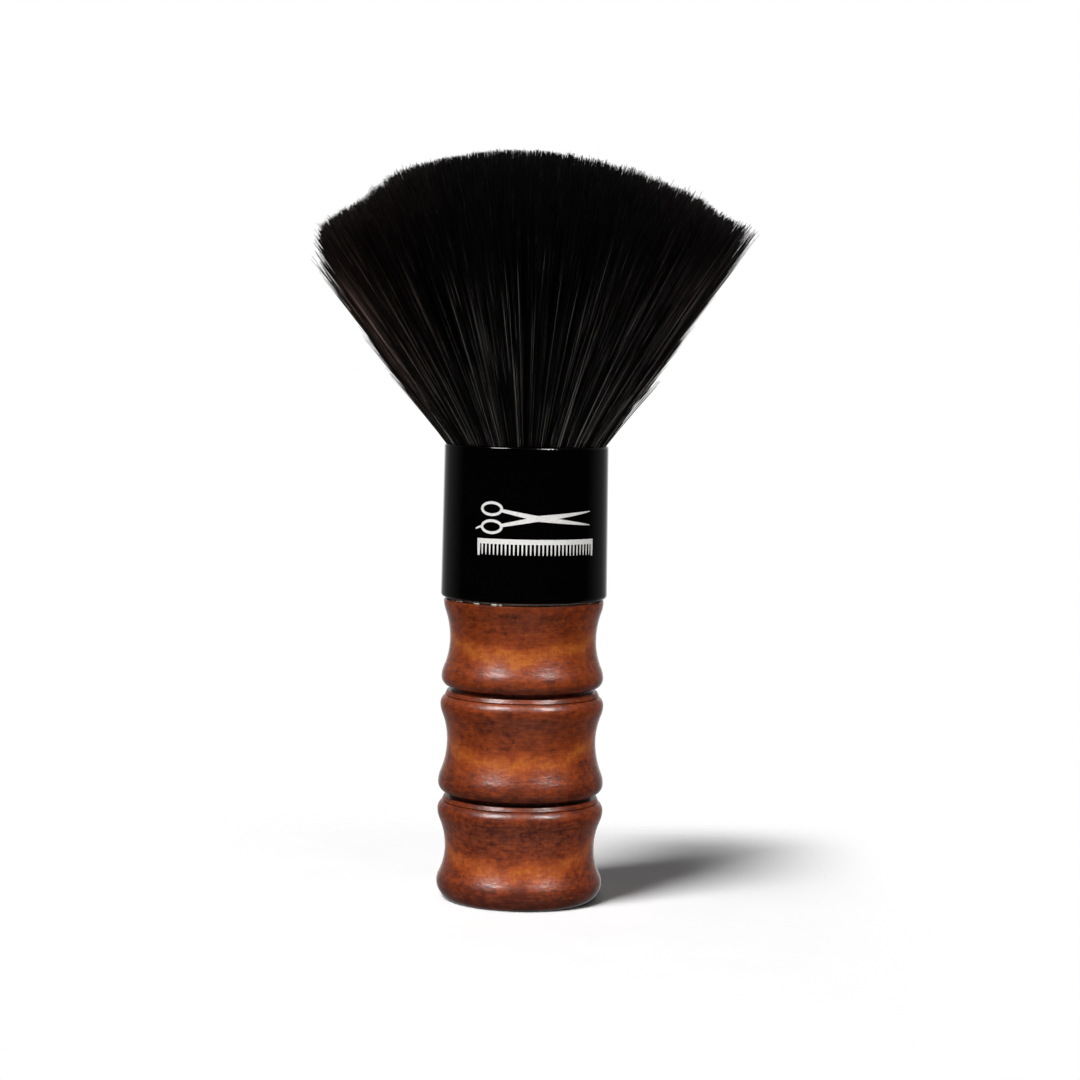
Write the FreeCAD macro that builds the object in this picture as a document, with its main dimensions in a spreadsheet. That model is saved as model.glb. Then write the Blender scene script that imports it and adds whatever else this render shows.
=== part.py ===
"""Neck duster brush: a turned wooden handle, a gloss collar and a knot of nylon bristles.

The brush stands on its handle. The origin is the centre of the handle's foot, and +Z runs up
the axis to the crown of the bristles. All sizes are millimetres, in the sheet named Sizes.
"""
import FreeCAD
import Part
import Sketcher
import os
import re

PARTS_FOLDER = "parts"
FIRST, SECOND, CENTRE = 1, 2, 3          # the points of a sketched edge
HORIZONTAL_AXIS, VERTICAL_AXIS = -1, -2  # the origin is the horizontal axis's first point
OUTWARD, INWARD = -1, 1                  # which way an arc swells on an outline that climbs

os.makedirs(PARTS_FOLDER, exist_ok=True)
doc = FreeCAD.newDocument("neck_duster_brush")
sheet = doc.addObject("Spreadsheet::Sheet", "Sizes")

SIZES = {
    # handle: three waisted segments, each with a bead at its foot and at its head
    "foot_radius": 16.0,
    "foot_edge_radius": 17.75,
    "foot_edge_height": 1.4,
    "foot_edge_round": 3.0,
    "foot_bead_round": 4.0,
    "foot1_height": 3.6,
    "foot1_radius": 18.5,
    "waist1_height": 11.4,
    "waist1_radius": 16.7,
    "head1_height": 19.95,
    "head1_radius": 18.5,
    "foot2_height": 26.0,
    "foot2_radius": 18.45,
    "waist2_height": 35.4,
    "waist2_radius": 16.6,
    "head2_height": 43.6,
    "head2_radius": 18.2,
    "foot3_height": 49.7,
    "foot3_radius": 18.05,
    "waist3_height": 58.2,
    "waist3_radius": 16.3,
    "head3_height": 66.8,
    "head3_radius": 17.8,
    "shoulder_chamfer": 0.3,
    # a bead is a tighter curve than the waist, and takes this share of the sweep between them
    "bead_share": 0.25,
    # groove between two segments: a rounded lip above and below, a scribed line, a narrow
    # step and a deep cut
    "lip_round": 2.3,
    "lip_rise": 0.81,
    "lip_drop": 0.4136,
    "scribe_depth": 0.35,
    "scribe_height": 0.32,
    "step_height": 0.8,
    "step_slope": 0.45,
    "cut_radius": 15.8,
    "cut_roof": 0.2,
    # tenon on top of the handle, with two grooves that key the adhesive
    "tenon_radius": 16.0,
    "tenon_top": 84.5,
    "tenon_chamfer": 0.8,
    "key_bottom": 71.5,
    "key_spacing": 6.5,
    "key_height": 1.4,
    "key_depth": 0.5,
    # collar: a gloss moulded tube that widens a little towards the handle
    "collar_bottom": 67.6,
    "collar_top": 101.6,
    "collar_bottom_radius": 18.5,
    "collar_top_radius": 18.2,
    "collar_socket_radius": 16.4,
    "collar_bore_radius": 16.7,
    "collar_mouth_radius": 17.3,
    "collar_lip_round": 0.8,
    "rim_outer_round": 0.55,
    "rim_inner_round": 0.3,
    "ledge_bottom": 84.7,
    "ledge_top": 86.5,
    "ledge_radius": 15.0,
    "squeeze_out_radius": 17.2,
    # knot cup: holds the root of the bristles inside the collar
    "cup_floor": 1.6,
    "cup_inner_radius": 15.5,
    "cup_corner": 0.8,
    "cup_top": 97.8,
    "cup_hole_radius": 2.3,
    # wood screw and washer that pull the cup down on the handle
    "core_radius": 1.4,
    "thread_radius": 2.0,
    "thread_pitch": 1.6,
    "thread_turns": 7,
    "thread_top": 83.4,
    "screw_point": 2.6,
    "head_radius": 4.0,
    "head_thickness": 2.4,
    "head_round": 1.6,
    "recess_width": 1.1,
    "recess_reach": 2.3,
    "recess_depth": 1.5,
    "washer_thickness": 0.8,
    "washer_radius": 5.5,
    "washer_hole_radius": 2.25,
    # cast resin round the root, and the cord that ties the bundle above it
    "resin_top": 94.6,
    "root_bottom": 92.0,
    "root_radius": 14.6,
    "cord_radius": 0.4,
    "cord_pitch": 0.76,
    "cord_turns": 4,
    "cord_bottom": 95.0,
    # bristles: a tied bundle that opens at the collar's mouth into a wide domed head
    "throat_height": 97.9,
    "mouth_height": 101.0,
    "mouth_radius": 16.7,
    "rim_clear_height": 102.9,
    "rim_clear_radius": 18.3,
    "bend_height": 112.3,
    "bend_radius": 24.5,
    "bend_sweep": 60.0,
    "fan_height": 140.9,
    "fan_radius": 46.4,
    "fan_round": 5.2,
    "dome_edge_radius": 45.6,
    "dome_sweep": 75.0,
    "crown_height": 165.0,
}
for row, (alias, value) in enumerate(SIZES.items(), start=1):
    sheet.set(f"A{row}", alias)
    sheet.set(f"B{row}", str(value))
    sheet.setAlias(f"B{row}", alias)
doc.recompute()


def worked_out(expression):
    """The number that an expression on the sheet stands for."""
    return float(sheet.evalExpression(expression))


def bound(expression):
    """The same expression, written for an object outside the sheet."""
    aliases = "|".join(SIZES)
    return re.sub(rf"\b({aliases})\b", r"Sizes.\1", expression)


def new_body(label):
    body = doc.addObject("PartDesign::Body", label)
    body.Label = label
    return body


def origin_feature(body, role):
    return next(feature for feature in body.Origin.OriginFeatures if feature.Role == role)


def new_sketch(body, name, role):
    sketch = body.newObject("Sketcher::SketchObject", name)
    sketch.AttachmentSupport = (origin_feature(body, role), "")
    sketch.MapMode = "FlatFace"
    return sketch


def measure(sketch, name, expression, kind, *points):
    """Adds one named measure to a sketch and binds it to the sheet."""
    index = sketch.addConstraint(Sketcher.Constraint(kind, *points, worked_out(expression)))
    sketch.renameConstraint(index, name)
    sketch.setExpression(f"Constraints.{name}", bound(expression))


def place_point(sketch, name, radius, height, edge, end):
    """Fixes one end of an edge at a radius and a height, either of which may be "0"."""
    if radius == "0":
        sketch.addConstraint(Sketcher.Constraint("PointOnObject", edge, end, VERTICAL_AXIS))
    else:
        measure(sketch, f"{name}_radius", radius, "DistanceX", HORIZONTAL_AXIS, FIRST, edge, end)
    if height == "0":
        sketch.addConstraint(Sketcher.Constraint("PointOnObject", edge, end, HORIZONTAL_AXIS))
    else:
        measure(sketch, f"{name}_height", height, "DistanceY", HORIZONTAL_AXIS, FIRST, edge, end)


def sheet_point(radius, height):
    return FreeCAD.Vector(worked_out(radius), worked_out(height), 0)


def arc_between(start, end, radius, side):
    chord = end - start
    across = FreeCAD.Vector(-chord.y, chord.x, 0).normalize() * side
    swell = radius - (radius ** 2 - (chord.Length / 2) ** 2) ** 0.5
    return Part.Arc(start, (start + end) / 2 + across * swell, end)


def ends_of(sketch, edge, start):
    """An edge's ends in outline order: the sketcher may store an arc the other way round."""
    stored_in_order = sketch.getPoint(edge, FIRST).distanceToPoint(start) < 1e-6
    return (FIRST, SECOND) if stored_in_order else (SECOND, FIRST)


def outline(body, name, corners):
    """Closed half section. Each corner is (radius, height), with (arc radius, side) added where
    an arc leads to the next corner."""
    sketch = new_sketch(body, name, "XZ_Plane")
    points = [sheet_point(corner[0], corner[1]) for corner in corners]
    following = points[1:] + points[:1]
    for corner, start, end in zip(corners, points, following):
        if len(corner) == 2:
            sketch.addGeometry(Part.LineSegment(start, end), False)
        else:
            sketch.addGeometry(arc_between(start, end, worked_out(corner[2]), corner[3]), False)
    ends = [ends_of(sketch, edge, start) for edge, start in enumerate(points)]
    last = len(corners) - 1
    for edge, corner in enumerate(corners):
        before = edge - 1 if edge else last
        join = Sketcher.Constraint("Coincident", before, ends[before][1], edge, ends[edge][0])
        sketch.addConstraint(join)
        place_point(sketch, f"corner{edge}", corner[0], corner[1], edge, ends[edge][0])
        if len(corner) == 4:
            measure(sketch, f"corner{edge}_arc", corner[2], "Radius", edge)
    return sketch


def turn(body, sketch, kind="PartDesign::Revolution"):
    """Turns a half section round the vertical axis, as a solid or as a cut."""
    feature = body.newObject(kind, sketch.Name + "_turned")
    feature.Profile = sketch
    feature.ReferenceAxis = (origin_feature(body, "Z_Axis"), [""])
    feature.Angle = 360
    doc.recompute()
    return feature


# handle ---------------------------------------------------------------------------------------
# One piece of stained and varnished hardwood, turned on a lathe: three waisted segments, two
# grooves between them, and a plain tenon on top that goes into the collar.
def sweep_radius(bead, waist, share):
    """Radius of one of the two tangent arcs that lead from a bead to the waist beside it."""
    drop = f"({bead}_radius - {waist}_radius)"
    rise = f"({bead}_height - {waist}_height)"
    return f"({drop} ^ 2 + {rise} ^ 2) / (2 * {drop}) * {share}"


def between(bead, waist, measure_name):
    """Where the two tangent arcs meet."""
    return f"{bead}_{measure_name} + ({waist}_{measure_name} - {bead}_{measure_name}) * bead_share"


def segment(number):
    """Outline of one segment, from the bead at its foot over the waist to the bead at its head."""
    foot, waist, head = f"foot{number}", f"waist{number}", f"head{number}"
    waist_to_head = sweep_radius(head, waist, "(1 - bead_share)")
    meet_low = (between(foot, waist, "radius"), between(foot, waist, "height"))
    meet_high = (between(head, waist, "radius"), between(head, waist, "height"))
    return [
        (f"{foot}_radius", f"{foot}_height", sweep_radius(foot, waist, "bead_share"), OUTWARD),
        (*meet_low, sweep_radius(foot, waist, "(1 - bead_share)"), INWARD),
        (f"{waist}_radius", f"{waist}_height", waist_to_head, INWARD),
        (*meet_high, sweep_radius(head, waist, "bead_share"), OUTWARD),
    ]


def groove(head, foot):
    """Outline of the groove between the head bead of one segment and the foot bead of the next."""
    low_radius = f"{head}_radius - lip_drop * lip_round"
    low_height = f"{head}_height + lip_rise * lip_round"
    step_height = f"{low_height} + scribe_height"
    high_radius = f"{foot}_radius - lip_drop * lip_round"
    high_height = f"{foot}_height - lip_rise * lip_round"
    return [
        (f"{head}_radius", f"{head}_height", "lip_round", OUTWARD),
        (low_radius, low_height),
        (f"{low_radius} - scribe_depth", f"{low_height} + scribe_height / 2"),
        (f"{low_radius} - scribe_depth / 4", step_height),
        (f"{low_radius} - step_slope", f"{step_height} + step_height"),
        ("cut_radius", f"{step_height} + step_height * 1.1"),
        ("cut_radius", f"{high_height} - cut_roof"),
        (high_radius, high_height, "lip_round", OUTWARD),
    ]


def key_grooves():
    """Corners of the two adhesive grooves in the tenon, from the lower one up."""
    corners = []
    for bottom in ("key_bottom", "key_bottom + key_spacing"):
        corners.append(("tenon_radius", bottom))
        corners.append(("tenon_radius - key_depth", bottom))
        corners.append(("tenon_radius - key_depth", f"{bottom} + key_height"))
        corners.append(("tenon_radius", f"{bottom} + key_height"))
    return corners


def threaded_shank():
    """Half section of the screw's thread from its point up: one ridge for each turn."""
    thread_bottom = "thread_top - thread_turns * thread_pitch"
    corners = [("0", f"{thread_bottom} - screw_point")]
    for turn_number in range(SIZES["thread_turns"]):
        valley = f"{thread_bottom} + thread_pitch * {turn_number}"
        corners.append(("core_radius", valley))
        corners.append(("thread_radius", f"{valley} + thread_pitch / 2"))
    corners.append(("core_radius", "thread_top"))
    corners.append(("thread_radius", "thread_top"))
    return corners


handle = new_body("handle")
shoulder_height = "head3_height + shoulder_chamfer"
handle_corners = [
    ("0", "0"),
    ("foot_radius", "0", "foot_edge_round", OUTWARD),
    ("foot_edge_radius", "foot_edge_height", "foot_bead_round", OUTWARD),
    *segment(1),
    *groove("head1", "foot2"),
    *segment(2),
    *groove("head2", "foot3"),
    *segment(3),
    ("head3_radius", "head3_height"),
    ("head3_radius - shoulder_chamfer", shoulder_height),
    ("tenon_radius", shoulder_height),
    *key_grooves(),
    ("tenon_radius", "tenon_top - tenon_chamfer"),
    ("tenon_radius - tenon_chamfer", "tenon_top"),
    ("0", "tenon_top"),
]
turn(handle, outline(handle, "handle_section", handle_corners))
uncut_volume = handle.Shape.Volume
screw_hole = [*threaded_shank(), ("thread_radius", "tenon_top + 1"), ("0", "tenon_top + 1")]
turn(handle, outline(handle, "screw_hole_section", screw_hole), "PartDesign::Groove")
assert handle.Shape.Volume < uncut_volume - 10, "the screw hole took no wood away"

# handle_adhesive ------------------------------------------------------------------------------
# Film of adhesive between tenon and collar. It fills the two key grooves and squeezes out into
# the narrow gap above the handle's shoulder.
adhesive = new_body("handle_adhesive")
adhesive_corners = [
    ("tenon_radius", shoulder_height),
    ("squeeze_out_radius", shoulder_height),
    ("squeeze_out_radius", "collar_bottom"),
    ("collar_socket_radius", "collar_bottom"),
    ("collar_socket_radius", "tenon_top - tenon_chamfer"),
    ("tenon_radius", "tenon_top - tenon_chamfer"),
    *reversed(key_grooves()),
]
turn(adhesive, outline(adhesive, "adhesive_section", adhesive_corners))

# collar ---------------------------------------------------------------------------------------
# Gloss moulded tube with a rounded lip below and a rounded rim on top. A ledge inside stops the
# tenon from below and carries the knot cup above, and the bore opens a little at the mouth.
collar = new_body("collar")
collar_corners = [
    ("collar_socket_radius", "collar_bottom"),
    ("collar_bottom_radius - collar_lip_round", "collar_bottom", "collar_lip_round", OUTWARD),
    ("collar_bottom_radius", "collar_bottom + collar_lip_round"),
    ("collar_top_radius", "collar_top - rim_outer_round", "rim_outer_round", OUTWARD),
    ("collar_top_radius - rim_outer_round", "collar_top"),
    ("collar_mouth_radius + rim_inner_round", "collar_top", "rim_inner_round", OUTWARD),
    ("collar_mouth_radius", "collar_top - rim_inner_round"),
    ("collar_bore_radius", "cup_top"),
    ("collar_bore_radius", "ledge_top"),
    ("ledge_radius", "ledge_top"),
    ("ledge_radius", "ledge_bottom"),
    ("collar_socket_radius", "ledge_bottom"),
]
turn(collar, outline(collar, "collar_section", collar_corners))

# knot_cup -------------------------------------------------------------------------------------
# Moulded cup pressed into the collar on its ledge, with one hole in its floor for the screw.
cup = new_body("knot_cup")
floor_top = "ledge_top + cup_floor"
cup_corners = [
    ("cup_hole_radius", "ledge_top"),
    ("collar_bore_radius", "ledge_top"),
    ("collar_bore_radius", "cup_top"),
    ("cup_inner_radius", "cup_top"),
    ("cup_inner_radius", f"{floor_top} + cup_corner"),
    ("cup_inner_radius - cup_corner", floor_top),
    ("cup_hole_radius", floor_top),
]
turn(cup, outline(cup, "cup_section", cup_corners))

# screw_washer ---------------------------------------------------------------------------------
# Plain steel washer under the screw's head.
washer = new_body("screw_washer")
washer_face = new_sketch(washer, "washer_face", "XY_Plane")
for index, radius in enumerate(("washer_radius", "washer_hole_radius")):
    edge = Part.Circle(FreeCAD.Vector(), FreeCAD.Vector(0, 0, 1), worked_out(radius))
    washer_face.addGeometry(edge, False)
    centred = Sketcher.Constraint("Coincident", index, CENTRE, HORIZONTAL_AXIS, FIRST)
    washer_face.addConstraint(centred)
    measure(washer_face, f"{radius}_size", radius, "Radius", index)
washer_pad = washer.newObject("PartDesign::Pad", "washer_pad")
washer_pad.Profile = washer_face
washer_pad.setExpression("Length", bound("washer_thickness"))
washer_face.setExpression("AttachmentOffset.Base.z", bound(floor_top))
doc.recompute()

# cup_screw ------------------------------------------------------------------------------------
# Pan-head wood screw through the cup's floor into the tenon, with a cross recess.
screw = new_body("cup_screw")
seat = f"{floor_top} + washer_thickness"
head_top = f"{seat} + head_thickness"
screw_corners = [
    *threaded_shank(),
    ("thread_radius", seat),
    ("head_radius", seat),
    ("head_radius", f"{head_top} - head_round", "head_round", OUTWARD),
    ("head_radius - head_round", head_top),
    ("0", head_top),
]
turn(screw, outline(screw, "screw_section", screw_corners))
recess = new_sketch(screw, "recess_arm", "XY_Plane")
recess.setExpression("AttachmentOffset.Base.z", bound(head_top))
arm_reach = worked_out("recess_reach")
arm_half = worked_out("recess_width / 2")
arm_points = [(0, -arm_half), (arm_reach, -arm_half), (arm_reach, arm_half), (0, arm_half)]
arm_corners = [FreeCAD.Vector(x, y, 0) for x, y in arm_points]
for start, end in zip(arm_corners, arm_corners[1:] + arm_corners[:1]):
    recess.addGeometry(Part.LineSegment(start, end), False)
for side in range(4):
    join = Sketcher.Constraint("Coincident", side, SECOND, (side + 1) % 4, FIRST)
    recess.addConstraint(join)
    direction = "Vertical" if side % 2 else "Horizontal"
    recess.addConstraint(Sketcher.Constraint(direction, side))
centred = Sketcher.Constraint("Symmetric", 3, FIRST, 3, SECOND, HORIZONTAL_AXIS, FIRST)
recess.addConstraint(centred)
measure(recess, "reach", "recess_reach", "DistanceX", 0, FIRST, 0, SECOND)
measure(recess, "width", "recess_width", "DistanceY", 1, FIRST, 1, SECOND)
recess_cut = screw.newObject("PartDesign::Pocket", "recess_cut")
recess_cut.Profile = recess
recess_cut.setExpression("Length", bound("recess_depth"))
plain_volume = screw.Shape.Volume
doc.recompute()
assert screw.Shape.Volume < plain_volume, "the recess points out of the screw's head"
recess_arms = screw.newObject("PartDesign::PolarPattern", "recess_arms")
recess_arms.Originals = [recess_cut]
recess_arms.Axis = (origin_feature(screw, "Z_Axis"), [""])
recess_arms.Angle = 360
recess_arms.Occurrences = 4
screw.Tip = recess_arms
doc.recompute()

# root_resin -----------------------------------------------------------------------------------
# Resin cast in the cup round the screw's head and the root of the bristles.
resin = new_body("root_resin")
resin_corners = [
    ("washer_radius", floor_top),
    ("cup_inner_radius - cup_corner", floor_top),
    ("cup_inner_radius", f"{floor_top} + cup_corner"),
    ("cup_inner_radius", "resin_top"),
    ("root_radius", "resin_top"),
    ("root_radius", "root_bottom"),
    ("0", "root_bottom"),
    ("0", head_top),
    ("head_radius - head_round", head_top, "head_round", INWARD),
    ("head_radius", f"{head_top} - head_round"),
    ("head_radius", seat),
    ("washer_radius", seat),
]
turn(resin, outline(resin, "resin_section", resin_corners))

# binding_cord ---------------------------------------------------------------------------------
# Waxed cord wound tightly round the bundle above the resin, turn on turn.
cord = new_body("binding_cord")
cord_section = new_sketch(cord, "cord_section", "XZ_Plane")
cord_centre = sheet_point("root_radius + cord_radius", "cord_bottom")
cord_round = Part.Circle(cord_centre, FreeCAD.Vector(0, 0, 1), worked_out("cord_radius"))
cord_section.addGeometry(cord_round, False)
place_point(cord_section, "centre", "root_radius + cord_radius", "cord_bottom", 0, CENTRE)
measure(cord_section, "thickness", "cord_radius", "Radius", 0)
one_turn = turn(cord, cord_section)
winding = cord.newObject("PartDesign::LinearPattern", "winding")
winding.Originals = [one_turn]
winding.Direction = (origin_feature(cord, "Z_Axis"), [""])
winding.setExpression("Length", bound("cord_pitch * (cord_turns - 1)"))
winding.setExpression("Occurrences", bound("cord_turns"))
cord.Tip = winding
doc.recompute()

# bristle_knot ---------------------------------------------------------------------------------
# Bundle of straight nylon bristles of one length. Tied at the root, it opens at the collar's
# mouth into a wide head whose tips lie on a dome.
knot = new_body("bristle_knot")
dome_centre = "crown_height - dome_sweep"
dome_edge_height = f"{dome_centre} + sqrt(dome_sweep ^ 2 - dome_edge_radius ^ 2)"
knot_corners = [
    ("0", "root_bottom"),
    ("root_radius", "root_bottom"),
    ("root_radius", "throat_height"),
    ("mouth_radius", "mouth_height"),
    ("rim_clear_radius", "rim_clear_height", "bend_sweep", INWARD),
    ("bend_radius", "bend_height"),
    ("fan_radius", "fan_height", "fan_round", OUTWARD),
    ("dome_edge_radius", dome_edge_height, "dome_sweep", OUTWARD),
    ("0", "crown_height"),
]
turn(knot, outline(knot, "knot_section", knot_corners))

# checks and files -----------------------------------------------------------------------------
doc.recompute()
for item in doc.Objects:
    broken = {"Invalid", "Error"} & set(item.State)
    assert not broken, f"{item.Name} is {broken}"
for body in doc.findObjects("PartDesign::Body"):
    shape = body.Shape
    assert not shape.isNull() and shape.isValid(), f"{body.Label} has no valid shape"
    assert len(shape.Solids) == 1, f"{body.Label} is not one solid"
    shape.exportStep(os.path.join(PARTS_FOLDER, body.Label + ".step"))
    box = shape.optimalBoundingBox()
    extent = f"radius {box.XMax:6.2f}, height {box.ZMin:6.2f} to {box.ZMax:6.2f}"
    print(f"{body.Label:16} {shape.Volume:10.1f} mm3, {extent}")
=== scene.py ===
"""Neck duster brush: the looks of a turned and stained handle, a gloss collar and a nylon knot.

Sizes named _MM are millimetres, and every mesh is in metres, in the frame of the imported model.
The sections follow the brush as it is put together, from the handle up to the bristles.
"""

import math
import random

import bmesh
import bpy
from mathutils import Matrix, Vector, noise


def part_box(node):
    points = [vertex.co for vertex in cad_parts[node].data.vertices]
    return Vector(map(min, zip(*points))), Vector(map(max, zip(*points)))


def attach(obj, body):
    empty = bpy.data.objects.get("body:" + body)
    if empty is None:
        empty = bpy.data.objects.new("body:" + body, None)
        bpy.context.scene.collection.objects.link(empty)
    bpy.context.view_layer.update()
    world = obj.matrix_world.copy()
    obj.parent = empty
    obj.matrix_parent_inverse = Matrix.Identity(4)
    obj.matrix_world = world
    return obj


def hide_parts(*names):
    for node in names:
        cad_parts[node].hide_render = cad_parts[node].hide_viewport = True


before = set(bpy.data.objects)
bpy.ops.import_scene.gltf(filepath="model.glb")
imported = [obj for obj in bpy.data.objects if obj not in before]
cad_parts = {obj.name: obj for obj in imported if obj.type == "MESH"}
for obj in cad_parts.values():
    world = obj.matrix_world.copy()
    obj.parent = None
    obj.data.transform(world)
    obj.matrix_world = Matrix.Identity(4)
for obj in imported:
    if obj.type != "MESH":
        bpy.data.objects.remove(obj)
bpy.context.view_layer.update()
MM = 0.001


# Handle. One piece of close-grained hardwood, turned on a lathe to three waisted segments, wiped
# with a red-brown stain that sinks deepest where the turning cuts across the grain, and varnished.

class Wire:
    """An output socket of a node tree. Arithmetic adds Math nodes, and node() adds any other."""

    def __init__(self, socket, tree=None):
        self.socket = socket
        self.tree = tree or socket.id_data

    def node(self, kind, settings=None, inputs=None, output=0):
        made = self.tree.nodes.new(kind)
        for name, value in (settings or {}).items():
            if name == "stops":
                ramp = made.color_ramp
                while len(ramp.elements) < len(value):
                    ramp.elements.new(1.0)
                for element, (place, colour) in zip(ramp.elements, value):
                    element.position = place
                    element.color = (*colour, 1.0)
            else:
                setattr(made, name, value)
        for name, value in (inputs or {}).items():
            if isinstance(value, Wire):
                self.tree.links.new(value.socket, made.inputs[name])
            else:
                made.inputs[name].default_value = value
        return Wire(made.outputs[output])

    def output(self, name):
        return Wire(self.socket.node.outputs[name])

    def into(self, node, name):
        self.tree.links.new(self.socket, node.inputs[name])

    def maths(self, operation, *others):
        """A Math node on this value and any others."""
        values = dict(enumerate((self, *others)))
        return self.node("ShaderNodeMath", {"operation": operation}, values)

    def __add__(self, other):
        return self.maths("ADD", other)

    def __sub__(self, other):
        return self.maths("SUBTRACT", other)

    def __mul__(self, other):
        return self.maths("MULTIPLY", other)

    def __truediv__(self, other):
        return self.maths("DIVIDE", other)

    def __pow__(self, other):
        return self.maths("POWER", other)

    def __rsub__(self, other):
        return self.node("ShaderNodeMath", {"operation": "SUBTRACT"}, {0: other, 1: self})

    __radd__ = __add__
    __rmul__ = __mul__

    def part(self, axis):
        """The x, y or z of a vector."""
        return self.node("ShaderNodeSeparateXYZ", None, {0: self}, axis.upper())

    def vector_maths(self, operation, inputs, output="Vector"):
        """A Vector Math node on this vector and any others."""
        return self.node("ShaderNodeVectorMath", {"operation": operation}, {0: self, **inputs}, output)

    def times(self, vector):
        """A vector, axis by axis, times another."""
        return self.vector_maths("MULTIPLY", {1: vector})

    def between(self, low, high, to_low=0.0, to_high=1.0):
        """A value stretched smoothly from one range to another, and held at its ends."""
        return self.node("ShaderNodeMapRange", {"interpolation_type": "SMOOTHSTEP"},
                         {0: self, 1: low, 2: high, 3: to_low, 4: to_high})

    def cloud(self, scale, detail=2.0, roughness=0.5):
        """Noise from 0 to 1 at this vector."""
        return self.node("ShaderNodeTexNoise", None, {
            "Vector": self, "Scale": scale, "Detail": detail, "Roughness": roughness})

    def ramp(self, *stops):
        """A colour for this value, from stops of (value, colour)."""
        return self.node("ShaderNodeValToRGB", {"stops": stops}, {0: self})

    def tint(self, low, high):
        """A mix of two colours by this value."""
        return self.node("ShaderNodeMix", {"data_type": "RGBA"}, {0: self, 6: low, 7: high}, 2)

    def relief(self, depth_mm):
        """A normal from this height, whose full range is that deep."""
        return self.node("ShaderNodeBump", None,
                         {"Strength": 1.0, "Distance": depth_mm * MM, "Height": self})


def finish(name, **uniform):
    """A new material with one Principled shader: the material, the shader and its place in mm."""
    material = bpy.data.materials.new(name)
    material.use_nodes = True
    shader = material.node_tree.nodes["Principled BSDF"]
    for socket, value in uniform.items():
        shader.inputs[socket.replace("_", " ")].default_value = value
    start = Wire(None, material.node_tree)
    place = start.node("ShaderNodeTexCoord", output="Object")
    return material, shader, place.vector_maths("SCALE", {3: 1 / MM})


def dress(node, material):
    """Gives a CAD node its finish, in every slot it has."""
    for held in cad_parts[node].material_slots:
        held.material = material


SEGMENT_MM = 23.5          # from groove to groove
WAIST_SHARE = 0.494        # how far up a segment its waist is
WAIST_RADIUS_MM = 17.0
WOOD_GRAIN = (0.045, 0.36, 1.0)      # the blank's fibres lean back a little from the front
WOOD_STAIN = (
    (0.0, (0.34, 0.086, 0.0125)),        # thinnest, where the cut runs along the fibres
    (0.27, (0.262, 0.051, 0.0078)),
    (0.56, (0.200, 0.033, 0.0060)),
    (1.0, (0.072, 0.0105, 0.0028)),      # deepest, in end grain
)


def stained_wood():
    material, shader, place = finish("stained_varnished_wood", Coat_Roughness=0.20)
    height = place.part("z")

    # how squarely the turned surface cuts the fibres, worked out from its height past the waist
    past_waist = ((height / SEGMENT_MM).maths("FRACT") - WAIST_SHARE) * SEGMENT_MM
    lean = place.node("ShaderNodeCombineXYZ", None, {
        0: place.part("x") / WAIST_RADIUS_MM,
        1: place.part("y") / WAIST_RADIUS_MM,
        2: past_waist * -0.062})
    figure = place.times((1.0, 1.0, 0.8)).cloud(0.16, 3.0).output("Color")
    swirl = figure.vector_maths("SUBTRACT", {1: (0.5,) * 3})
    warped = lean.vector_maths("ADD", {1: swirl.times((0.3,) * 3)})
    squarely = warped.vector_maths("DOT_PRODUCT", {1: WOOD_GRAIN}, "Value")
    end_grain = (squarely + 0.15).maths("ABSOLUTE")
    across = end_grain.between(0.0, 0.2)

    # the stain: deeper in end grain, and uneven in blotches, along the fibres and round the turning
    blotch = place.times((1.0, 1.0, 0.7)).cloud(0.26, 4.0, 0.6)
    mottle = place.times((1.0, 1.0, 1.6)).cloud(0.62, 4.0, 0.6)
    fibre = place.times((1.7, 1.7, 0.14)).cloud(1.0, 3.0, 0.65)
    turning = place.times((0.22, 0.22, 4.2)).cloud(1.0, 3.0, 0.75)
    fleck = place.times((3.0, 3.0, 1.2)).cloud(0.55, 1.0).between(0.66, 0.74)
    depth = across * 0.50 + end_grain.between(0.3, 0.8) * 0.12
    depth = depth + (blotch - 0.5) * 0.7 + (mottle - 0.5) * 1.25
    depth = depth + (fibre - 0.5) * (1.0 - across) * 0.65 + (turning - 0.5) * (across + 0.2) * 0.75
    # darker flecks, and the colour also darkens towards the bottom: down the handle, and over the
    # lower part of each segment
    depth = depth + fleck * 0.25 + height.between(0.0, 70.0, 0.24, 0.08)
    depth = depth + past_waist.between(-9.0, -4.0, 1.0, 0.0) * height.between(0.0, 60.0, 0.2, 0.04)
    depth.ramp(*WOOD_STAIN).into(shader, "Base Color")

    # the varnish: dimpled a little, dragged round by the cloth, and worn thin on the beads
    (0.22 + turning * 0.16 + mottle * 0.12).into(shader, "Roughness")
    past_waist.between(6.5, 9.5, 0.6, 0.2).into(shader, "Coat Weight")
    dimple = place.times((1.0, 1.0, 1.9)).cloud(0.75, 2.0, 0.5)
    swell = turning * 0.25 + dimple * 0.9 + mottle * 0.35
    swell.relief(0.085).into(shader, "Normal")
    return material


dress("handle", stained_wood())


# Adhesive. A cream glue film holds the collar on the tenon. Where it was squeezed out at the
# shoulder it was wiped off, and a few crumbs dried in the joint under the collar's lip.

def dried_glue():
    material, shader, place = finish("dried_adhesive")
    lumps = place.cloud(1.6, 4.0)
    lumps.ramp((0.3, (0.50, 0.44, 0.34)), (0.7, (0.74, 0.70, 0.62))).into(shader, "Base Color")
    (0.35 + lumps * 0.3).into(shader, "Roughness")
    lumps.relief(0.08).into(shader, "Normal")
    return material


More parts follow.
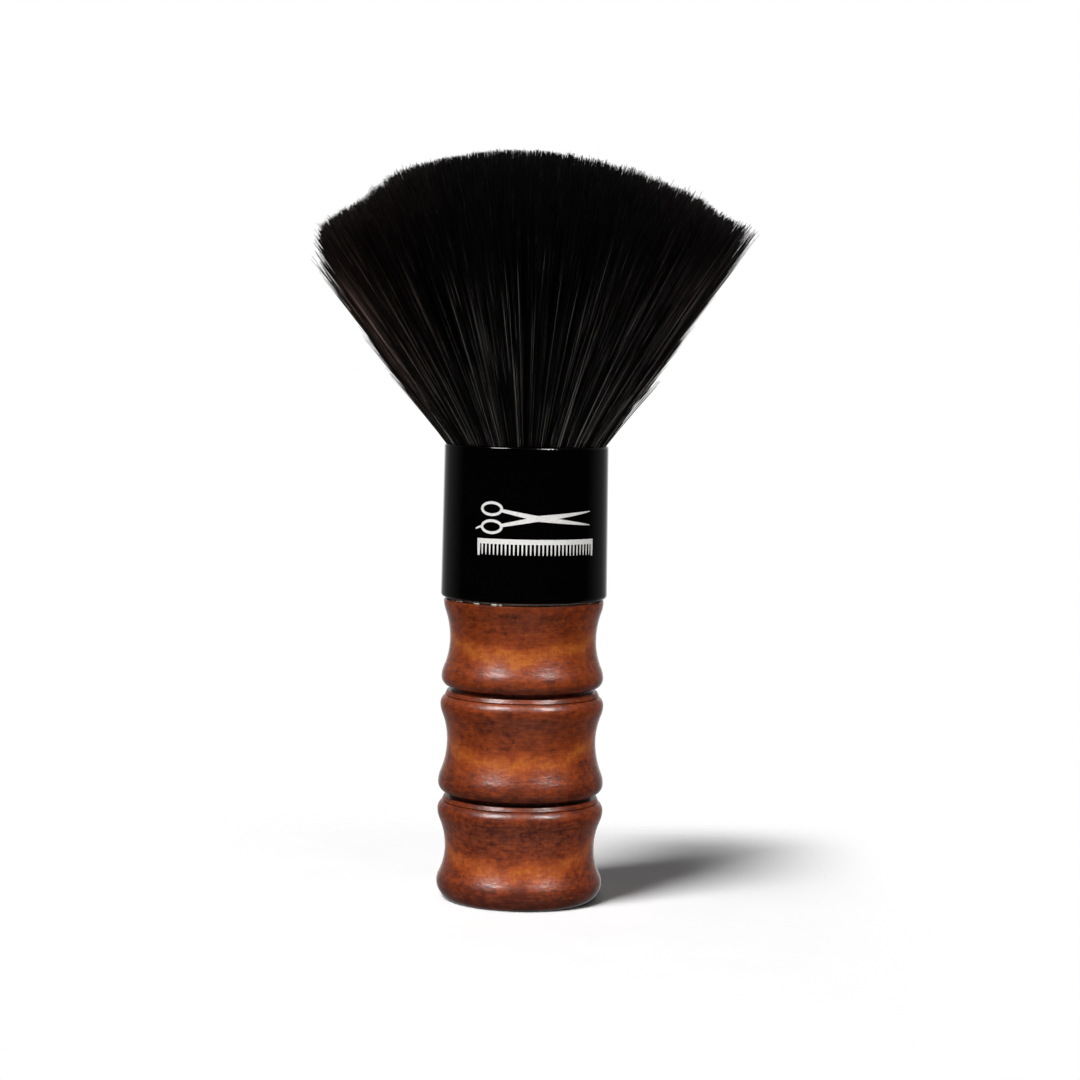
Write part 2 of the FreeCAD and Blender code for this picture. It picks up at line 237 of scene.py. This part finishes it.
def glue_crumb(mesh, bearing, radius, height, length, thick):
    """Adds one flattened lump, long round the joint, at a bearing in degrees from the front."""
    turn = Matrix.Rotation(math.radians(bearing), 4, "Z")
    made = bmesh.ops.create_icosphere(mesh, subdivisions=3, radius=1.0)
    for vertex in made["verts"]:
        rough = 1.0 + 0.35 * noise.noise(vertex.co * 1.7 + Vector((bearing, 0.0, 0.0)))
        swollen = Vector((vertex.co.x * length / 2,
                          vertex.co.y * thick / 2,
                          vertex.co.z * thick / 2))
        vertex.co = turn @ ((swollen * rough + Vector((0.0, -radius, height))) * MM)


FRONT_CRUMBS = ((-35.0, 1.7, 0.44), (-20.5, 1.5, 0.62), (-16.0, 0.9, 0.34))   # degrees, mm, mm
FRONT_CRUMB_RADIUS_MM = 17.72
OTHER_CRUMBS = 13
OTHER_CRUMB_RADIUS_MM = 17.6
CRUMB_SEED = 11


def glue_crumbs():
    joint_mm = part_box("collar")[0].z / MM - 0.35
    mesh = bmesh.new()
    for bearing, length, thick in FRONT_CRUMBS:
        glue_crumb(mesh, bearing, FRONT_CRUMB_RADIUS_MM, joint_mm, length, thick)
    draw = random.Random(CRUMB_SEED)
    for _ in range(OTHER_CRUMBS):
        glue_crumb(mesh, draw.uniform(30.0, 310.0), OTHER_CRUMB_RADIUS_MM,
                   joint_mm + draw.uniform(-0.05, 0.1), draw.uniform(0.5, 1.6),
                   draw.uniform(0.22, 0.42))
    data = bpy.data.meshes.new("glue_crumbs")
    mesh.to_mesh(data)
    mesh.free()
    data.shade_smooth()
    data.materials.append(bpy.data.materials["dried_adhesive"])
    crumbs = bpy.data.objects.new("glue_crumbs", data)
    bpy.context.scene.collection.objects.link(crumbs)
    return crumbs


dress("handle_adhesive", dried_glue())
crumbs = glue_crumbs()
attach(crumbs, "root")


# Collar. A moulded tube of gloss black plastic with rounded ends, pushed over the glued tenon. Its
# face carries faint handling scratches and a little dust.

def gloss_black():
    material, shader, place = finish("gloss_black_plastic", IOR=1.5)
    dust = place.cloud(2.6, 2.0).between(0.70, 0.78)
    rub = place.times((0.5, 0.5, 2.6)).cloud(0.8, 4.0, 0.7)
    scratch = place.times((0.12, 0.12, 5.0)).cloud(1.0, 2.0, 0.8).between(0.60, 0.70)
    clean, dusty = (0.0005, 0.0005, 0.0006, 1.0), (0.0016, 0.0017, 0.0018, 1.0)
    dust.tint(clean, dusty).into(shader, "Base Color")
    (0.06 + rub * 0.05 + dust * 0.10 + scratch * 0.05).into(shader, "Roughness")
    (rub * 0.3 + scratch * 0.5).relief(0.004).into(shader, "Normal")
    return material


dress("collar", gloss_black())


# Print. One white pad-printed ornament on the collar: a pair of hairdresser's scissors over a comb.
# The ink is a film a few hundredths of a millimetre thick that follows the collar's curve.

PRINT_TURN_DEG = 10.0      # the middle of the print, round from the front
PRINT_HEIGHT_MM = 83.2
INK_MM = 0.03
STROKE_STEP_MM = 0.0015    # strokes that cross lie at slightly different heights
COLLAR_LOW, COLLAR_HIGH = (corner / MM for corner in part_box("collar"))
COLLAR_TAPER_MM = 0.3      # how much the collar's radius narrows towards its mouth


def collar_radius(height):
    """The collar's outer radius at a height, in mm."""
    share = (height - COLLAR_LOW.z) / (COLLAR_HIGH.z - COLLAR_LOW.z)
    return COLLAR_HIGH.x - COLLAR_TAPER_MM * share


def on_collar(across, up, lift):
    """A point of the ornament, in mm from the print's middle, wrapped round the collar."""
    height = PRINT_HEIGHT_MM + up
    radius = collar_radius(height)
    turn = math.radians(PRINT_TURN_DEG) + across / radius
    out = (radius + lift) * MM
    return Vector((out * math.sin(turn), -out * math.cos(turn), height * MM))


def ink_stroke(mesh, path, widths, closed=False):
    """Adds a strip of ink along a path, as a closed thin plate with its own small lift."""
    lift = INK_MM + STROKE_STEP_MM * (len(mesh.faces) % 9)
    rings = []
    count = len(path)
    for i, (x, y) in enumerate(path):
        before = path[i - 1] if closed or i else path[0]
        after = path[(i + 1) % count] if closed or i < count - 1 else path[-1]
        along = Vector((after[0] - before[0], after[1] - before[1])).normalized()
        side = Vector((-along.y, along.x)) * widths[i] / 2
        corners = ((x + side.x, y + side.y, lift), (x - side.x, y - side.y, lift),
                   (x - side.x, y - side.y, -INK_MM), (x + side.x, y + side.y, -INK_MM))
        rings.append([mesh.verts.new(on_collar(*corner)) for corner in corners])
    pairs = list(zip(rings, rings[1:]))
    if closed:
        pairs.append((rings[-1], rings[0]))
    else:
        mesh.faces.new(rings[0])
        mesh.faces.new(reversed(rings[-1]))
    for one, two in pairs:
        for k in range(4):
            mesh.faces.new((one[k], two[k], two[(k + 1) % 4], one[(k + 1) % 4]))


def straight(start, end, pieces):
    run, climb = end[0] - start[0], end[1] - start[1]
    return [(start[0] + run * i / pieces, start[1] + climb * i / pieces) for i in range(pieces + 1)]


def oval(middle, wide, tall, pieces):
    turns = [math.tau * i / pieces for i in range(pieces)]
    return [(middle[0] + wide * math.cos(a), middle[1] + tall * math.sin(a)) for a in turns]


def scissors(mesh, pivot):
    """Adds two blades with shanks and finger rings, and a finger rest on the lower ring."""
    blade_mm = 13.2
    for side in (1, -1):
        lean = math.radians(6.5) * side
        tip = (pivot[0] + blade_mm * math.cos(lean), pivot[1] + blade_mm * math.sin(lean))
        blade = straight(pivot, tip, 16)
        ink_stroke(mesh, blade, [1.15 * (1 - i / 16) ** 0.7 + 0.10 for i in range(17)])
        ring = (pivot[0] - 10.4, pivot[1] - 1.95 * side)
        shank = straight(pivot, (ring[0] + 1.9, ring[1] + 0.25 * side), 8)
        ink_stroke(mesh, shank, [1.15 - 0.06 * i for i in range(9)])
        ink_stroke(mesh, oval(ring, 2.3, 1.3, 36), [0.58] * 36, closed=True)
    rest = [(pivot[0] - 12.6 - 1.7 * i / 8, pivot[1] - 2.0 - 0.5 * (i / 8) ** 2) for i in range(9)]
    ink_stroke(mesh, rest, [0.55 - 0.03 * i for i in range(9)])


def comb(mesh, start, end, up):
    """Adds a spine with fine teeth under it and a stouter tooth at each end."""
    ink_stroke(mesh, straight((start, up), (end, up), 40), [1.1] * 41)
    teeth = 30
    for i in range(teeth + 1):
        x = start + 0.35 + (end - start - 0.7) * i / teeth
        outer = i in (0, teeth)
        reach = 3.1 if outer else 2.9
        ink_stroke(mesh, straight((x, up - 0.4), (x, up - reach), 3),
                   [0.7, 0.7, 0.6, 0.45] if outer else [0.36, 0.36, 0.32, 0.2])


def printed_ornament():
    mesh = bmesh.new()
    scissors(mesh, (-0.2, 3.0))
    comb(mesh, -14.0, 14.0, -2.1)
    bmesh.ops.recalc_face_normals(mesh, faces=mesh.faces)
    data = bpy.data.meshes.new("printed_ornament")
    mesh.to_mesh(data)
    mesh.free()
    material, shader, place = finish("white_print_ink")
    worn = place.cloud(3.0, 3.0, 0.7)
    worn.ramp((0.25, (0.52, 0.51, 0.49)), (0.6, (0.72, 0.71, 0.69))).into(shader, "Base Color")
    (0.42 + worn * 0.2).into(shader, "Roughness")
    data.materials.append(material)
    ornament = bpy.data.objects.new("printed_ornament", data)
    bpy.context.scene.collection.objects.link(ornament)
    return ornament


ornament = printed_ornament()
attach(ornament, "root")


# Knot cup, washer and screw. A dark moulded cup sits on the collar's ledge, and a zinc-plated
# washer and wood screw pull it down on the handle's tenon.

def moulded_cup():
    material, shader, place = finish("moulded_cup_plastic")
    skin = place.cloud(4.0, 3.0, 0.6)
    skin.ramp((0.3, (0.020, 0.020, 0.021)), (0.7, (0.036, 0.036, 0.037))).into(shader, "Base Color")
    (0.45 + skin * 0.2).into(shader, "Roughness")
    skin.relief(0.02).into(shader, "Normal")
    return material


def zinc_plate():
    material, shader, place = finish("zinc_plated_steel")
    bloom = place.cloud(1.1, 4.0, 0.65)
    bloom.ramp((0.3, (0.50, 0.51, 0.53)), (0.7, (0.68, 0.68, 0.66))).into(shader, "Base Color")
    (0.9 + bloom * 0.1).into(shader, "Metallic")
    (0.22 + bloom * 0.25).into(shader, "Roughness")
    place.times((1.0, 1.0, 6.0)).cloud(2.0, 2.0).relief(0.008).into(shader, "Normal")
    return material


dress("knot_cup", moulded_cup())
plated = zinc_plate()
dress("screw_washer", plated)
dress("cup_screw", plated)


# Root resin and binding cord. Amber resin is cast round the root of the bundle in the cup, and
# four turns of waxed cord bind the bundle above it.

def amber_resin():
    material, shader, place = finish("amber_resin", IOR=1.55)
    depth = place.cloud(0.35, 4.0, 0.6)
    depth.ramp((0.3, (0.20, 0.105, 0.030)), (0.7, (0.36, 0.22, 0.085))).into(shader, "Base Color")
    (0.12 + depth * 0.15).into(shader, "Roughness")
    depth.relief(0.1).into(shader, "Normal")
    return material


def waxed_cord():
    material, shader, place = finish("waxed_cord")
    turn = place.part("y").maths("ARCTAN2", place.part("x"))
    ply = (turn * 90.0 + place.part("z") * 5.5).maths("SINE")
    wax = place.cloud(1.2, 3.0)
    # darker in the grooves between the plies, where the relief dips, and lighter or darker in patches
    ply_and_wax_tone = (ply * 0.25 + wax).between(0.2, 0.9)
    ply_and_wax_tone.tint((0.27, 0.22, 0.15, 1.0), (0.50, 0.44, 0.33, 1.0)).into(shader, "Base Color")
    (0.40 + wax * 0.25).into(shader, "Roughness")
    ply.relief(0.05).into(shader, "Normal")
    return material


dress("root_resin", amber_resin())
dress("binding_cord", waxed_cord())


# Bristles. Some 35,000 straight nylon filaments, fixed at the root and trimmed to a shallow dome.
# They leave the collar's mouth in a cone, hang together in locks and fray at the edges.

BRISTLE_PIECES = 8
FILAMENTS_EACH = 4400
BRISTLE_SIZES = {
    "Filaments": FILAMENTS_EACH,
    "Points each": 8,
    "Pieces": BRISTLE_PIECES,
    "Filament radius": 0.085 * MM,
    "Root height": 93.0 * MM,
    "Neck height": 97.4 * MM,
    "Neck radius": 14.2 * MM,
    "Neck bend": 1.8 * MM,
    "Flare": 0.35,
    "Dome centre": 90.0 * MM,
    "Reach": 76.0 * MM,
}
GOLDEN_TURN = math.pi * (3 - math.sqrt(5))


def bristle_tree(material):
    """Geometry nodes for one share of the bristles: a curve for each filament, swept to a tube."""
    tree = bpy.data.node_groups.new("bristle_share", "GeometryNodeTree")
    for name, value in {**BRISTLE_SIZES, "Piece": 0, "Seed": 5}.items():
        kind = "NodeSocketInt" if isinstance(value, int) else "NodeSocketFloat"
        socket = tree.interface.new_socket(name, in_out="INPUT", socket_type=kind)
        socket.default_value = value
    tree.interface.new_socket("Geometry", in_out="OUTPUT", socket_type="NodeSocketGeometry")
    given = Wire(None, tree).node("NodeGroupInput")
    size = {name: given.output(name) for name in (*BRISTLE_SIZES, "Piece", "Seed")}

    def chance(low, high, salt):
        """A random value for each filament."""
        return given.node("FunctionNodeRandomValue", {"data_type": "FLOAT"},
                          {2: low, 3: high, 7: number, 8: size["Seed"] + salt}, 1)

    def vector(x, y, z=0.0):
        return given.node("ShaderNodeCombineXYZ", None, {0: x, 1: y, 2: z})

    def drawn(share, place, target):
        """A place drawn that share of the way to a target."""
        return given.node("ShaderNodeMix", {"data_type": "VECTOR"},
                          {0: share, 4: place, 5: target}, 1)

    def locks(scale):
        """The middles and numbers of the locks of a bundle, smaller at a larger scale."""
        return given.node("ShaderNodeTexVoronoi", {"voronoi_dimensions": "2D"},
                          {"Vector": flat, "Scale": scale})

    # which filament and which point along it this is
    index = given.node("GeometryNodeInputIndex")
    filament = (index / size["Points each"]).maths("FLOOR")
    along = (index - filament * size["Points each"]) / (size["Points each"] - 1)
    number = filament * size["Pieces"] + size["Piece"]

    # its place in the round bundle, from 0 at the middle to 1 at the edge
    spread = ((number + 0.5) / (size["Filaments"] * size["Pieces"])) ** 0.5
    turn = number * GOLDEN_TURN
    flat_x = spread * turn.maths("COSINE") + chance(-0.012, 0.012, 1)
    flat_y = spread * turn.maths("SINE") + chance(-0.012, 0.012, 2)
    flat = vector(flat_x, flat_y)

    # the fine and the coarse lock that it hangs in
    fine = locks(24.0)
    coarse = locks(8.0)
    pull = along * (1.6 - 1.4 * along)
    held = drawn(pull * 0.62, flat, fine.output("Position"))
    held = drawn(pull * 0.16, held, coarse.output("Position"))
    out = held.vector_maths("LENGTH", {}, "Value")
    lock_fine = fine.output("Color").part("x")
    lock_coarse = coarse.output("Color").part("x")

    # how far from the dome's centre it was trimmed, and so the height of its tip
    edge = (spread - 0.8).maths("MAXIMUM", 0.0)
    left = (-0.42 - flat_x).maths("MAXIMUM", 0.0)
    corner = (-0.78 - flat_x).maths("MAXIMUM", 0.0)
    right = (flat_x - 0.68).maths("MAXIMUM", 0.0)
    trim = (lock_fine - 0.5) * 0.4 + (lock_coarse - 0.5) * 0.5 + (flat.cloud(2.2) - 0.5) * 1.8
    trim = trim + chance(-0.2, 0.2, 3) - chance(0.0, 1.0, 4) ** 12.0 * spread * 3.0
    trim = trim - edge * edge * (1.0 - flat_x.maths("MAXIMUM", 0.0)) * 45.0 - left * left * 16.0
    trim = trim - corner * corner * 36.0 + right * right * 32.0
    trim = trim - flat_x * (1.0 - flat_x.maths("ABSOLUTE")) * 2.4
    trim = trim - flat_x.between(-0.85, -0.62) * flat_x.between(-0.62, -0.40, 1.0, 0.0) * 1.6
    trim = trim - chance(0.0, 1.0, 15) ** 3.0 * 0.5
    reach = size["Reach"] + trim * MM

    # where a straight filament's cone meets that dome
    slope = size["Flare"] * 2.0 + 0.031
    width = spread * spread
    steep = 1.0 + width * slope * slope
    start = 8.8 * MM      # the cone's radius at the height of the dome's centre
    inside = reach * reach * steep - width * (start * start)
    climb = (inside ** 0.5 - width * slope * start) / steep
    tip = size["Dome centre"] + climb

    # a clump that broke short at the left edge, and the frayed ones all round the outside
    clump = flat_x.maths("LESS_THAN", -0.95) * flat_y.maths("ABSOLUTE").maths("LESS_THAN", 0.12)
    clump = clump * chance(0.0, 1.0, 6).maths("LESS_THAN", 0.6)
    tip = tip + clump * (chance(123.8, 125.2, 7) * MM - tip)
    fray = spread.between(0.90, 0.985) * chance(0.0, 1.0, 13) ** 1.4
    tip = tip - fray * (1.0 - clump) * (tip - size["Root height"]) * 0.62

    # the curve: straight up through the neck, then out in a cone that flares a little
    rise = along ** 1.7
    height = size["Root height"] + (tip - size["Root height"]) * rise
    above = height - size["Neck height"]
    bent = (above * above + size["Neck bend"] * size["Neck bend"]) ** 0.5
    radius = size["Neck radius"] + size["Flare"] * (1.0 - 0.06 * flat_x) * (above + bent)
    loose = (height - size["Root height"]) / (size["Reach"] * 0.75)
    radius = radius + above * above * 0.76
    radius = radius + (fray * chance(0.2, 1.0, 14) + clump * 0.6) * loose * (1.5 * MM)
    radius = radius + fray * (1.0 - clump) * chance(0.0, 1.0, 16) * along ** 3.0 * (2.6 * MM)
    radius = radius / out.maths("MAXIMUM", 1.0)
    stray = (1.0 + chance(0.0, 1.0, 8) ** 60.0 * 3.0) * loose * loose * MM
    lean = fine.output("Color").times((1.2, 1.2, 0.0))
    sway_x = (chance(-0.7, 0.7, 9) + lean.part("x") - 0.6) * stray
    sway_y = (chance(-0.7, 0.7, 10) + lean.part("y") - 0.6) * stray
    place = vector(held.part("x") * radius + sway_x, held.part("y") * radius + sway_y, height)

    # the filament itself, which keeps how far along it a point is and its painted sheen
    points = given.node("GeometryNodePoints", None, {
        "Count": size["Filaments"] * size["Points each"], "Position": place, "Radius": 1.0})
    # painted sheen: some locks and a few lone filaments get a lighter colour, for the light they catch
    shade = lock_fine * lock_coarse * 0.28 + chance(0.0, 1.0, 11) ** 11.0 * 1.35
    for name, value in (("rise", rise), ("shade", shade)):
        points = given.node("GeometryNodeStoreNamedAttribute",
                            {"data_type": "FLOAT", "domain": "POINT"},
                            {"Geometry": points, "Name": name, "Value": value})
    curves = given.node("GeometryNodePointsToCurves", None, {
        "Points": points, "Curve Group ID": filament})
    section = given.node("GeometryNodeCurvePrimitiveCircle", None, {"Resolution": 3, "Radius": 1.0})
    thick = size["Filament radius"] * (1.0 - 0.5 * along ** 20.0) * chance(0.85, 1.1, 12)
    tubes = given.node("GeometryNodeCurveToMesh", None, {
        "Curve": curves, "Profile Curve": section, "Scale": thick, "Fill Caps": True})
    smooth = given.node("GeometryNodeSetShadeSmooth", None, {"Geometry": tubes})
    real = given.node("GeometryNodeRealizeInstances", None, {"Geometry": smooth})
    made = given.node("GeometryNodeSetMaterial", None, {"Geometry": real, "Material": material})
    made.into(tree.nodes.new("NodeGroupOutput"), "Geometry")
    return tree


def black_nylon():
    material, shader, place = finish("black_nylon", Specular_IOR_Level=0.22, Roughness=0.45)
    rise = place.node("ShaderNodeAttribute", {"attribute_name": "rise"}, None, "Fac")
    # painted sheen: the lighter colour of some locks and lone filaments stands for light they catch
    shade = place.node("ShaderNodeAttribute", {"attribute_name": "shade"}, None, "Fac")
    # painted shade: over the last stretch to the tips the colour falls to near black, for the dome
    # shading itself
    light = shade * rise.between(0.72, 1.0, 1.0, 0.06)
    across = place.part("x")
    sideways = across.between(-40.0, -10.0, 1.0, 0.0) + across.between(10.0, 40.0) * 0.36
    black = light.ramp((0.0, (0.0004, 0.0004, 0.0004)), (0.12, (0.0150, 0.0140, 0.0130)),
                       (1.0, (0.3600, 0.3400, 0.3100)))
    brown = light.ramp((0.0, (0.0016, 0.0010, 0.0008)), (0.12, (0.0640, 0.0400, 0.0340)),
                       (1.0, (0.5200, 0.3450, 0.2950)))
    sideways.tint(black, brown).into(shader, "Base Color")
    return material


def bristle_share(tree, piece):
    """One share of the filaments as a plain mesh: every eighth of the bundle."""
    holder = bpy.data.objects.new("bristle_holder", bpy.data.meshes.new("bristle_holder"))
    bpy.context.scene.collection.objects.link(holder)
    grow = holder.modifiers.new("grow", "NODES")
    grow.node_group = tree
    sockets = {item.name: item.identifier
               for item in tree.interface.items_tree if item.in_out == "INPUT"}
    grow[sockets["Piece"]] = piece
    grown = holder.evaluated_get(bpy.context.evaluated_depsgraph_get())
    data = bpy.data.meshes.new_from_object(grown)
    holder.modifiers.remove(grow)
    bpy.data.objects.remove(holder)
    bristles = bpy.data.objects.new(f"bristles_{piece + 1}", data)
    data.name = bristles.name
    bpy.context.scene.collection.objects.link(bristles)
    return bristles


nylon = black_nylon()
growth = bristle_tree(nylon)
for piece in range(BRISTLE_PIECES):
    bristles = bristle_share(growth, piece)
    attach(bristles, "root")
    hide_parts("bristle_knot")


# Studio. A pale floor that fades out at its rim, a white surround that only the camera sees, two
# soft boxes in front at either side, and a sky that is bright overhead and behind, dark in front.

def studio_floor():
    bpy.ops.mesh.primitive_circle_add(vertices=96, radius=0.5, fill_type="NGON")
    floor = bpy.context.object
    floor.name = "studio_floor"
    material, shader, place = finish("pale_floor", Roughness=0.9, Specular_IOR_Level=0.1)
    grain = place.cloud(0.05, 2.0)
    grain.ramp((0.3, (0.94, 0.94, 0.94)), (0.7, (0.96, 0.96, 0.96))).into(shader, "Base Color")
    across, back = place.part("x"), place.part("y")
    seen = across.between(-90.0, -30.0) * across.between(36.0, 90.0, 1.0, 0.0)
    seen = seen * back.between(60.0, 100.0, 1.0, 0.0) * back.between(-240.0, -120.0)
    seen.into(shader, "Alpha")
    floor.data.materials.append(material)
    floor.visible_glossy = False
    return floor


def white_surround():
    bpy.ops.mesh.primitive_uv_sphere_add(segments=48, ring_count=24, radius=4.0)
    surround = bpy.context.object
    surround.name = "white_surround"
    material = bpy.data.materials.new("white_surround")
    material.use_nodes = True
    nodes = material.node_tree.nodes
    nodes.clear()
    glow = nodes.new("ShaderNodeEmission")
    out = nodes.new("ShaderNodeOutputMaterial")
    material.node_tree.links.new(glow.outputs[0], out.inputs[0])
    surround.data.materials.append(material)
    surround.visible_diffuse = False
    surround.visible_glossy = False
    surround.visible_transmission = False
    surround.visible_shadow = False
    return surround


def soft_box(name, bearing_deg, height_deg, wide, tall, glow, distance=2.0):
    """A light turned to the brush, at a bearing from the front and a height above level."""
    brush_middle = Vector((0.0, 0.0, 0.08))
    bearing, height = math.radians(bearing_deg), math.radians(height_deg)
    away = Vector((math.sin(bearing) * math.cos(height), -math.cos(bearing) * math.cos(height),
                   math.sin(height)))
    lamp = bpy.data.lights.new(name, "AREA")
    lamp.shape = "RECTANGLE"
    lamp.size = wide
    lamp.size_y = tall
    lamp.energy = glow * wide * tall * math.pi
    light = bpy.data.objects.new(name, lamp)
    light.location = brush_middle + away * distance
    light.rotation_mode = "QUATERNION"
    light.rotation_quaternion = away.to_track_quat("Z", "Y")
    bpy.context.scene.collection.objects.link(light)
    return light


def studio_sky():
    sky = bpy.data.worlds.new("studio_sky")
    sky.use_nodes = True
    bpy.context.scene.world = sky
    start = Wire(None, sky.node_tree)
    look = start.node("ShaderNodeTexCoord", output="Generated")
    behind = look.part("y").ramp((0.10, (0.0,) * 3), (0.72, (0.12,) * 3),
                                 (0.90, (0.30,) * 3), (0.975, (1.0,) * 3))
    overhead = look.part("z").between(0.55, 0.85)
    light = behind.maths("MAXIMUM", overhead * 0.14) + 0.004
    glow = sky.node_tree.nodes["Background"]
    glow.inputs["Color"].default_value = (1.0, 1.0, 1.0, 1.0)
    light.into(glow, "Strength")


def camera():
    """At the height of the bristles' lower half, looking a little down, with a slight roll."""
    lens = bpy.data.cameras.new("camera")
    lens.sensor_width = 36.0
    lens.lens = 88.3
    lens.clip_end = 20.0
    eye = bpy.data.objects.new("camera", lens)
    place = Matrix.Translation((0.00335, -0.588, 0.1225))
    tilt = Matrix.Rotation(math.radians(90.0 - 4.1), 4, "X")
    roll = Matrix.Rotation(math.radians(1.1), 4, "Z")
    eye.matrix_world = place @ tilt @ roll
    bpy.context.scene.collection.objects.link(eye)
    bpy.context.scene.camera = eye


floor = studio_floor()
white_surround()
soft_box("soft_box_left", -45.0, 48.0, 0.70, 1.05, 24.0)
fill = soft_box("soft_box_right", 45.0, 48.0, 0.46, 0.90, 30.0)

# the right box lights the brush and not the floor, so only the left one casts a shadow
not_lit = bpy.data.collections.new("not_lit_by_the_right_box")
not_lit.objects.link(floor)
fill.light_linking.receiver_collection = not_lit
not_lit.collection_objects[0].light_linking.link_state = "EXCLUDE"
studio_sky()
camera()
bpy.context.scene.view_settings.view_transform = "Standard"
